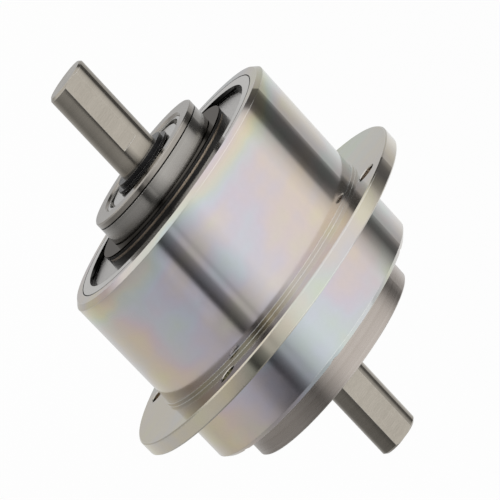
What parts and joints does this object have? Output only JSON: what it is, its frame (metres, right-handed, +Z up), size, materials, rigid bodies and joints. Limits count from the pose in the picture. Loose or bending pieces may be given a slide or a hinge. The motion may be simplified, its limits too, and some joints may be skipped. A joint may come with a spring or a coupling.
{
  "type": "magnetic powder brake",
  "caption": "Round flange-mounted magnetic powder brake: plated yoke with a sealed coil, a bearing collar, a plain rear cover and a through shaft with a flat on each end.",
  "frame": {"origin": "centre of the mounting flange's front face, on the shaft's axis", "axes": "+X along the shaft from the bearing collar to the rear cover, +Z up, -Y towards the side that carries the shaft flats"},
  "size_m": [0.2021, 0.16, 0.16],
  "materials": {
    "plated_steel": "iridescent yellow chromate zinc plating",
    "turned_steel": "fine turned, unplated",
    "ground_steel": "ground",
    "bright_steel": "bright, pressed or polished",
    "black_steel": "black oxide",
    "black_rubber": "smooth moulded",
    "felt": "pressed wool felt",
    "brass_ring": "turned",
    "copper_wire": "enamelled winding",
    "bobbin_nylon": "moulded",
    "insulating_tape": "polyester tape",
    "iron_powder": "fine loose powder"
  },
  "bodies": {
    "housing": {"front_yoke": "plated_steel", "rear_yoke": "plated_steel", "mounting_flange": "plated_steel", "nonmagnetic_ring": "brass_ring", "coil_bobbin": "bobbin_nylon", "coil_winding": "copper_wire", "coil_wrap": "insulating_tape", "lead_grommet": "black_rubber", "front_cover": "turned_steel", "front_lock_ring": "turned_steel", "hub_face_ring": "turned_steel", "hub_seal": "black_rubber", "hub_seal_band": "bright_steel", "bearing_cap": "turned_steel", "bearing_housing": "turned_steel", "front_felt_seal": "felt", "front_seal_washer": "bright_steel", "rear_cover": "turned_steel", "rear_felt_seal": "felt", "rear_bearing_circlip": "black_steel", "rear_cover_screws": "black_steel", "yoke_tie_screws": "black_steel", "magnetic_powder": "iron_powder", "front_bearing_outer_ring": "bright_steel", "front_bearing_shields": "bright_steel", "rear_bearing_outer_ring": "bright_steel", "rear_bearing_shields": "bright_steel"},
    "rotor": {"shaft": "ground_steel", "rotor_drum": "turned_steel", "rotor_key": "bright_steel", "rotor_circlip": "black_steel", "front_flinger": "bright_steel", "rear_flinger": "bright_steel", "front_spacer_ring": "black_steel", "front_shaft_circlip": "black_steel", "rear_shaft_circlip": "black_steel", "front_bearing_inner_ring": "bright_steel", "rear_bearing_inner_ring": "bright_steel"},
    "front_cage": {"front_bearing_balls": "bright_steel", "front_bearing_cage": "bright_steel"},
    "rear_cage": {"rear_bearing_balls": "bright_steel", "rear_bearing_cage": "bright_steel"}
  },
  "joints": [
    {"name": "shaft_spin", "type": "hinge", "parent": "housing", "child": "rotor", "pos_m": [0, 0, 0], "axis": [1, 0, 0], "continuous": true},
    {"name": "front_cage_spin", "type": "hinge", "parent": "housing", "child": "front_cage", "pos_m": [-0.062, 0, 0], "axis": [1, 0, 0], "continuous": true},
    {"name": "rear_cage_spin", "type": "hinge", "parent": "housing", "child": "rear_cage", "pos_m": [0.0361, 0, 0], "axis": [1, 0, 0], "continuous": true}
  ],
  "couplings": [
    {"joint": "front_cage_spin", "follows": "shaft_spin", "ratio": 0.38152},
    {"joint": "rear_cage_spin", "follows": "shaft_spin", "ratio": 0.38152}
  ]
}
